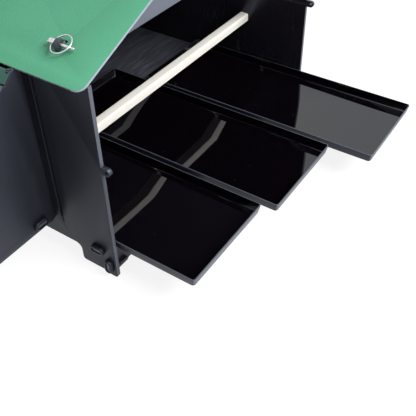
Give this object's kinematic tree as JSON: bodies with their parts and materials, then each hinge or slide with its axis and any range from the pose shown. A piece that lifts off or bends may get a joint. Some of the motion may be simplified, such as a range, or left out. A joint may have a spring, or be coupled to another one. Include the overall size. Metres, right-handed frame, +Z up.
{
  "type": "hen house",
  "caption": "Flat-pack sheet plastic hen house with a gabled roof, side nest box with lid, perches, rear pop door and pull-out floor trays, one end panel off.",
  "frame": {"origin": "on the ground, under the middle of the whole part with the trays drawn out as stored", "axes": "+Z up; +X from the nest box side to the plain side, across the roof ridge; -Y the open end that the trays slide out of, +Y the end with the pop door"},
  "size_m": [1.0228, 0.9754, 0.5908],
  "materials": {
    "wall_sheet": "fine grained, dark charcoal",
    "roof_sheet": "green, finely ribbed",
    "lid_sheet": "green, finely ribbed",
    "tray_plastic": "polished black",
    "perch_wood": "planed pale softwood",
    "pin_steel": "bright zinc plate",
    "collar_plastic": "moulded charcoal",
    "floor_sheet": "streaked charcoal",
    "strip_plastic": "smooth black",
    "trim_plastic": "fine grained, dark charcoal",
    "screw_steel": "plain steel"
  },
  "bodies": {
    "house": {"left_wall": "wall_sheet", "right_wall": "wall_sheet", "floor_panel": "floor_sheet", "front_sill": "wall_sheet", "rear_sill": "wall_sheet", "sill_ledges": "collar_plastic", "front_brace": "wall_sheet", "rear_brace": "wall_sheet", "roof_left": "roof_sheet", "roof_right": "roof_sheet", "ridge_cap": "roof_sheet", "ridge_rivets": "screw_steel", "perch_rests": "collar_plastic", "rest_screws": "screw_steel", "nest_side_front": "wall_sheet", "nest_side_rear": "wall_sheet", "nest_back": "wall_sheet", "nest_floor": "floor_sheet", "nest_cover_strips": "strip_plastic", "floor_collars": "collar_plastic", "sill_collars": "collar_plastic", "nest_collars": "collar_plastic", "rear_panel": "wall_sheet", "door_guide_left": "trim_plastic", "door_guide_right": "trim_plastic", "door_stop": "trim_plastic", "guide_screws": "screw_steel", "lynch_pins": "pin_steel"},
    "tray_left": {"tray_left": "tray_plastic"},
    "tray_middle": {"tray_middle": "tray_plastic"},
    "tray_right": {"tray_right": "tray_plastic"},
    "perch_front": {"perch_front": "perch_wood"},
    "perch_rear": {"perch_rear": "perch_wood"},
    "nest_lid": {"nest_lid": "lid_sheet"},
    "pop_door": {"pop_door": "wall_sheet", "pop_door_knob": "collar_plastic"},
    "ring_front_left": {"ring_front_left": "pin_steel"},
    "ring_front_right": {"ring_front_right": "pin_steel"},
    "ring_rear_left": {"ring_rear_left": "pin_steel"},
    "ring_rear_right": {"ring_rear_right": "pin_steel"},
    "ring_panel_left": {"ring_panel_left": "pin_steel"},
    "ring_panel_right": {"ring_panel_right": "pin_steel"}
  },
  "joints": [
    {"name": "tray_left_slide", "type": "slide", "parent": "house", "child": "tray_left", "axis": [0, -1, 0], "range_m": [-0.185, 0.339]},
    {"name": "tray_middle_slide", "type": "slide", "parent": "house", "child": "tray_middle", "axis": [0, -1, 0], "range_m": [-0.214, 0.31]},
    {"name": "tray_right_slide", "type": "slide", "parent": "house", "child": "tray_right", "axis": [0, -1, 0], "range_m": [-0.308, 0.216]},
    {"name": "perch_front_lift", "type": "slide", "parent": "house", "child": "perch_front", "axis": [0, 0, 1], "range_m": [0, 0.12]},
    {"name": "perch_rear_lift", "type": "slide", "parent": "house", "child": "perch_rear", "axis": [0, 0, 1], "range_m": [0, 0.12]},
    {"name": "nest_lid_hinge", "type": "hinge", "parent": "house", "child": "nest_lid", "pos_m": [-0.27557, -0.0527, 0.41755], "axis": [0, 1, 0], "range_deg": [0, 110]},
    {"name": "pop_door_slide", "type": "slide", "parent": "house", "child": "pop_door", "axis": [0, 0, 1], "range_m": [0, 0.215]},
    {"name": "ring_front_left_flip", "type": "hinge", "parent": "house", "child": "ring_front_left", "pos_m": [-0.21585, -0.0942, 0.45382], "axis": [-0.9219, 0, -0.3875], "range_deg": [0, 180]},
    {"name": "ring_front_right_flip", "type": "hinge", "parent": "house", "child": "ring_front_right", "pos_m": [0.45667, -0.0942, 0.45382], "axis": [-0.9219, 0, 0.3875], "range_deg": [0, 180]},
    {"name": "ring_rear_left_flip", "type": "hinge", "parent": "house", "child": "ring_rear_left", "pos_m": [-0.21585, 0.3568, 0.45382], "axis": [0.9219, 0, 0.3875], "range_deg": [0, 180]},
    {"name": "ring_rear_right_flip", "type": "hinge", "parent": "house", "child": "ring_rear_right", "pos_m": [0.45667, 0.3568, 0.45382], "axis": [0.9219, 0, -0.3875], "range_deg": [0, 180]},
    {"name": "ring_panel_left_flip", "type": "hinge", "parent": "house", "child": "ring_panel_left", "pos_m": [-0.26209, 0.4671, 0.2653], "axis": [0, 0, 1], "range_deg": [0, 180]},
    {"name": "ring_panel_right_flip", "type": "hinge", "parent": "house", "child": "ring_panel_right", "pos_m": [0.50291, 0.4671, 0.2653], "axis": [0, 0, -1], "range_deg": [0, 180]}
  ]
}
